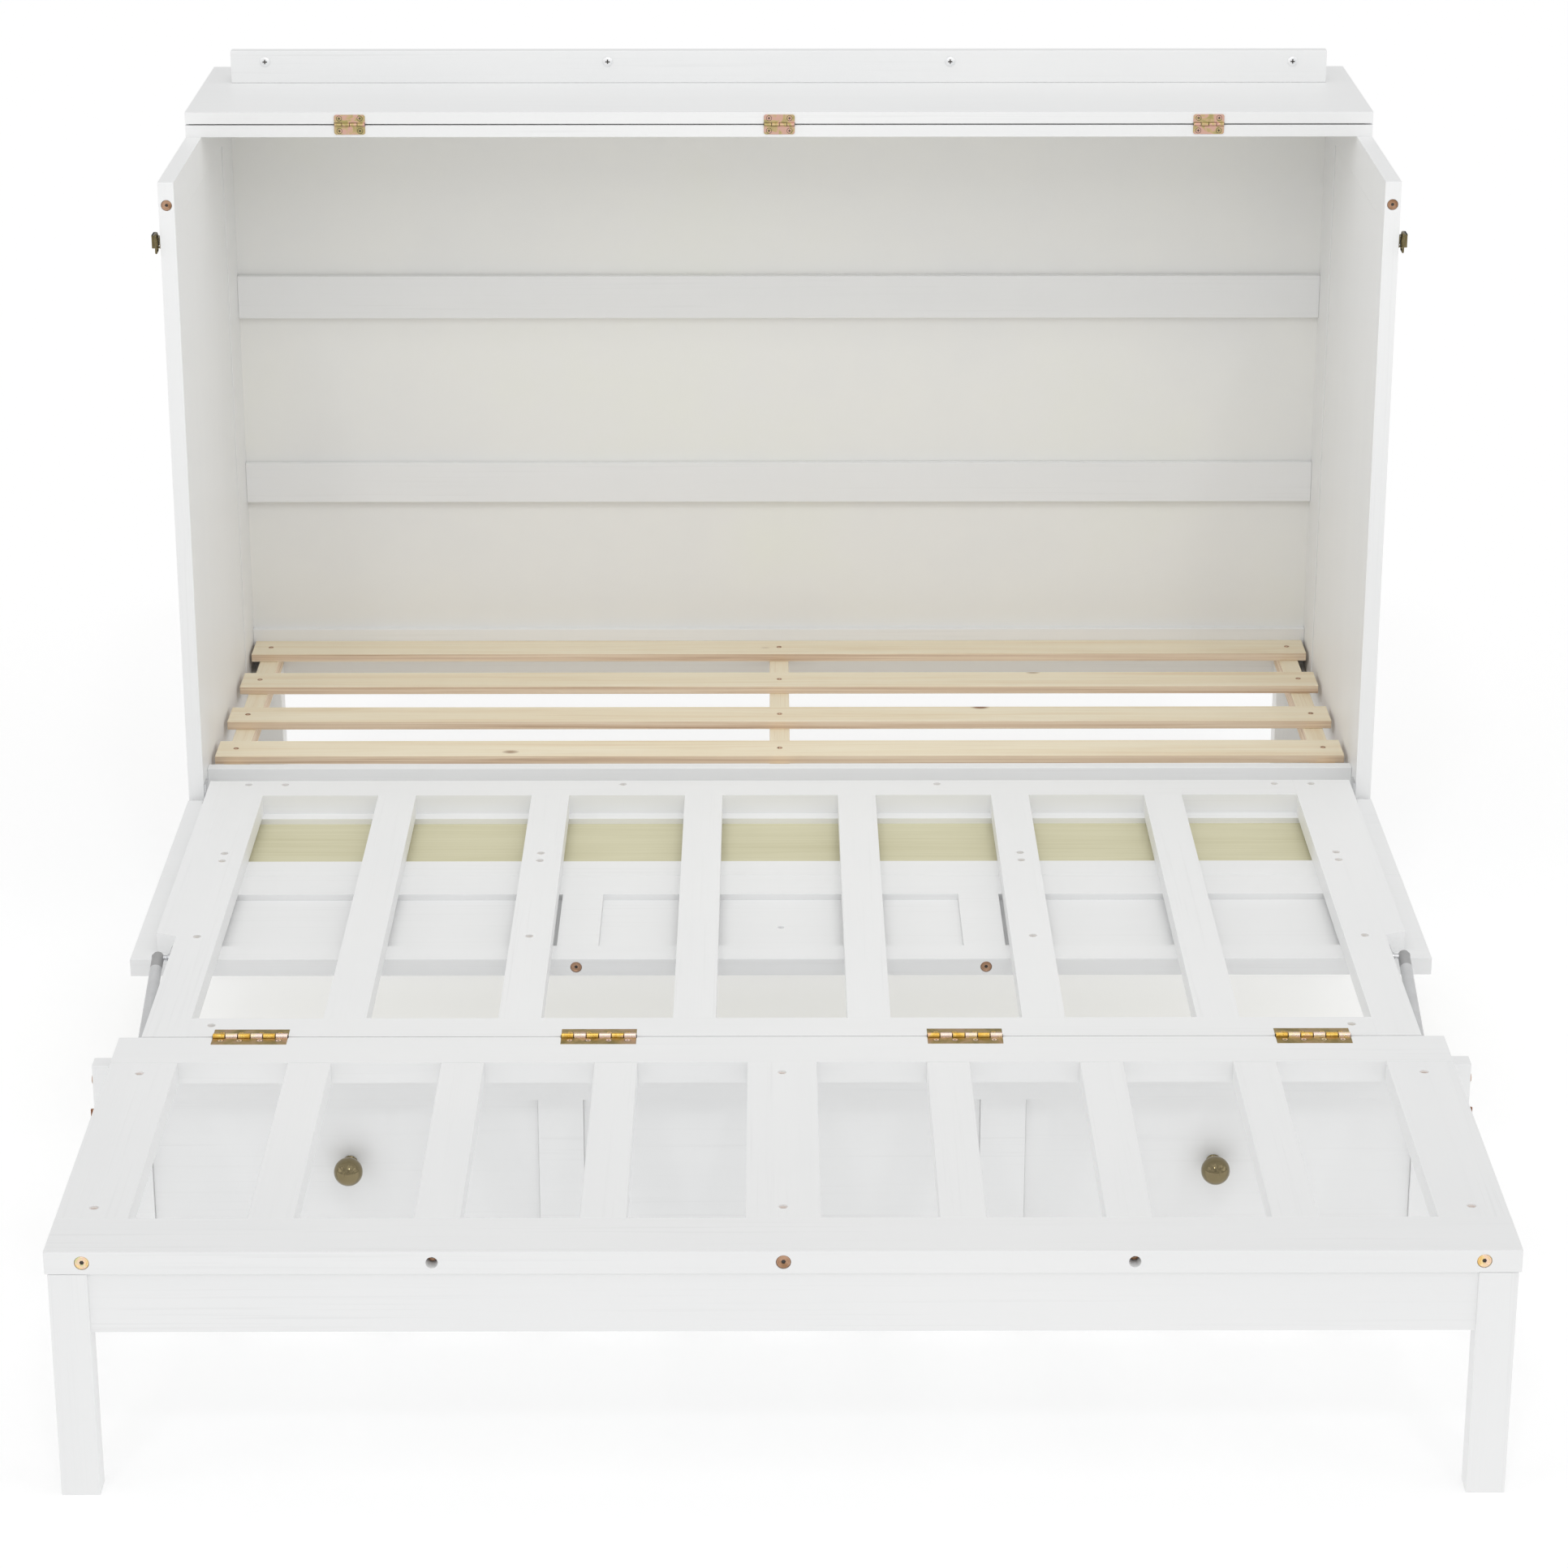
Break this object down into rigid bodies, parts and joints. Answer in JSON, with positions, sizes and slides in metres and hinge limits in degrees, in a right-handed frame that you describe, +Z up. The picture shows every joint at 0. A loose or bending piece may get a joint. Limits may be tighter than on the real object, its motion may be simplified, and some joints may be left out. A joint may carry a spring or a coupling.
{
  "type": "murphy cabinet bed",
  "caption": "Sideboard that folds down into a slatted double bed: hinged lid, folding middle and front frames, drop panel with gas struts, folding legs and toggle latches.",
  "frame": {"origin": "on the floor, under the middle of the open bed and cabinet", "axes": "X across the bed, +Y from the foot of the bed to the wall, +Z up"},
  "size_m": [1.643, 2.05, 1.1965],
  "materials": {
    "white_paint": "satin white paint",
    "back_board": "matt warm grey foil",
    "pine": "bare sanded pine",
    "plywood": "bare plywood",
    "yellow_zinc": "yellow zinc plate",
    "antique_brass": "antique brass",
    "bare_steel": "bright zinc plate",
    "strut_paint": "grey paint",
    "strut_rod": "ground and plated"
  },
  "bodies": {
    "cabinet": {"side_left": "white_paint", "side_right": "white_paint", "side_infills": "white_paint", "back_panel": "back_board", "back_rails": "white_paint", "corner_posts": "white_paint", "top_board": "white_paint", "front_board": "white_paint", "slats": "pine", "slat_rails": "pine", "cabinet_screws": "yellow_zinc", "pivot_brackets": "bare_steel", "latch_bases": "antique_brass", "lid_hinge_fixed_leaves": "yellow_zinc"},
    "lid": {"lid_board": "white_paint", "lid_batten": "white_paint", "lid_batten_screws": "bare_steel", "lid_hinge_moving_leaves": "yellow_zinc"},
    "lever_left": {"latch_lever_left": "antique_brass"},
    "lever_right": {"latch_lever_right": "antique_brass"},
    "bail_left": {"latch_bail_left": "antique_brass"},
    "bail_right": {"latch_bail_right": "antique_brass"},
    "middle_frame": {"mid_stile_left": "white_paint", "mid_stile_right": "white_paint", "mid_back_rail": "white_paint", "mid_front_rail": "white_paint", "mid_bars": "white_paint", "fascia_strip": "white_paint", "fascia_strip_infill": "plywood", "fascia_panel": "white_paint", "fascia_panel_infills": "white_paint", "fascia_hinges": "antique_brass", "mid_bolts": "yellow_zinc", "fold_hinge_rear_leaves": "yellow_zinc", "strut_brackets_upper": "bare_steel", "drop_hinge_frame_leaves": "bare_steel"},
    "front_frame": {"front_inner_rail": "white_paint", "front_outer_rail": "white_paint", "front_stile_left": "white_paint", "front_stile_right": "white_paint", "front_centre_stile": "white_paint", "front_bars": "white_paint", "front_bolts": "yellow_zinc", "fold_hinge_front_leaves": "yellow_zinc", "leg_hinge_frame_leaves": "bare_steel"},
    "leg_frame": {"leg_left": "white_paint", "leg_right": "white_paint", "leg_apron": "white_paint", "leg_hinge_leaves": "bare_steel"},
    "drop_panel": {"drop_panel_frame": "white_paint", "drop_panel_infills": "white_paint", "knobs": "antique_brass", "drop_panel_bolts": "yellow_zinc", "latch_strikes": "antique_brass", "strut_brackets_lower": "bare_steel", "drop_hinge_panel_leaves": "bare_steel"},
    "tube_left": {"strut_tube_left": "strut_paint"},
    "tube_right": {"strut_tube_right": "strut_paint"},
    "rod_left": {"strut_rod_left": "strut_rod"},
    "rod_right": {"strut_rod_right": "strut_rod"}
  },
  "joints": [
    {"name": "lid_hinge", "type": "hinge", "parent": "cabinet", "child": "lid", "pos_m": [0, 0.6935, 1.13475], "axis": [1, 0, 0], "range_deg": [0, 180]},
    {"name": "bed_fold", "type": "hinge", "parent": "cabinet", "child": "middle_frame", "pos_m": [0, 0.3955, 0.253], "axis": [-1, 0, 0], "range_deg": [0, 90]},
    {"name": "front_fold", "type": "hinge", "parent": "middle_frame", "child": "front_frame", "pos_m": [0, -0.4645, 0.2904], "axis": [-1, 0, 0], "range_deg": [0, 180]},
    {"name": "leg_fold", "type": "hinge", "parent": "front_frame", "child": "leg_frame", "pos_m": [0, -0.9945, 0.264], "axis": [1, 0, 0], "range_deg": [0, 90]},
    {"name": "drop_fold", "type": "hinge", "parent": "middle_frame", "child": "drop_panel", "pos_m": [0, -0.4605, 0.2635], "axis": [1, 0, 0], "range_deg": [0, 90]},
    {"name": "strut_pivot_left", "type": "hinge", "parent": "middle_frame", "child": "tube_left", "pos_m": [-0.77, -0.193, 0.277], "axis": [-1, 0, 0], "range_deg": [0, 19.2]},
    {"name": "strut_slide_left", "type": "slide", "parent": "tube_left", "child": "rod_left", "axis": [0, 0.9459, 0.3246], "range_m": [0, 0.0745]},
    {"name": "lever_left", "type": "hinge", "parent": "cabinet", "child": "lever_left", "pos_m": [-0.814, 0.411, 1.037], "axis": [0, 0, -1], "range_deg": [-110, 0]},
    {"name": "bail_left", "type": "hinge", "parent": "lever_left", "child": "bail_left", "pos_m": [-0.814, 0.417, 1.037], "axis": [0, 0, 1], "range_deg": [-110, 0]},
    {"name": "strut_pivot_right", "type": "hinge", "parent": "middle_frame", "child": "tube_right", "pos_m": [0.77, -0.193, 0.277], "axis": [-1, 0, 0], "range_deg": [0, 19.2]},
    {"name": "strut_slide_right", "type": "slide", "parent": "tube_right", "child": "rod_right", "axis": [0, 0.9459, 0.3246], "range_m": [0, 0.0745]},
    {"name": "lever_right", "type": "hinge", "parent": "cabinet", "child": "lever_right", "pos_m": [0.814, 0.411, 1.037], "axis": [0, 0, 1], "range_deg": [-110, 0]},
    {"name": "bail_right", "type": "hinge", "parent": "lever_right", "child": "bail_right", "pos_m": [0.814, 0.417, 1.037], "axis": [0, 0, -1], "range_deg": [-110, 0]}
  ],
  "couplings": [
    {"joint": "bail_left", "follows": "lever_left", "ratio": 1},
    {"joint": "strut_pivot_left", "follows": "drop_fold", "ratio": 0.21211},
    {"joint": "strut_slide_left", "follows": "drop_fold", "m_per_rad": 0.047118},
    {"joint": "bail_right", "follows": "lever_right", "ratio": 1},
    {"joint": "strut_pivot_right", "follows": "drop_fold", "ratio": 0.21211},
    {"joint": "strut_slide_right", "follows": "drop_fold", "m_per_rad": 0.047118}
  ]
}
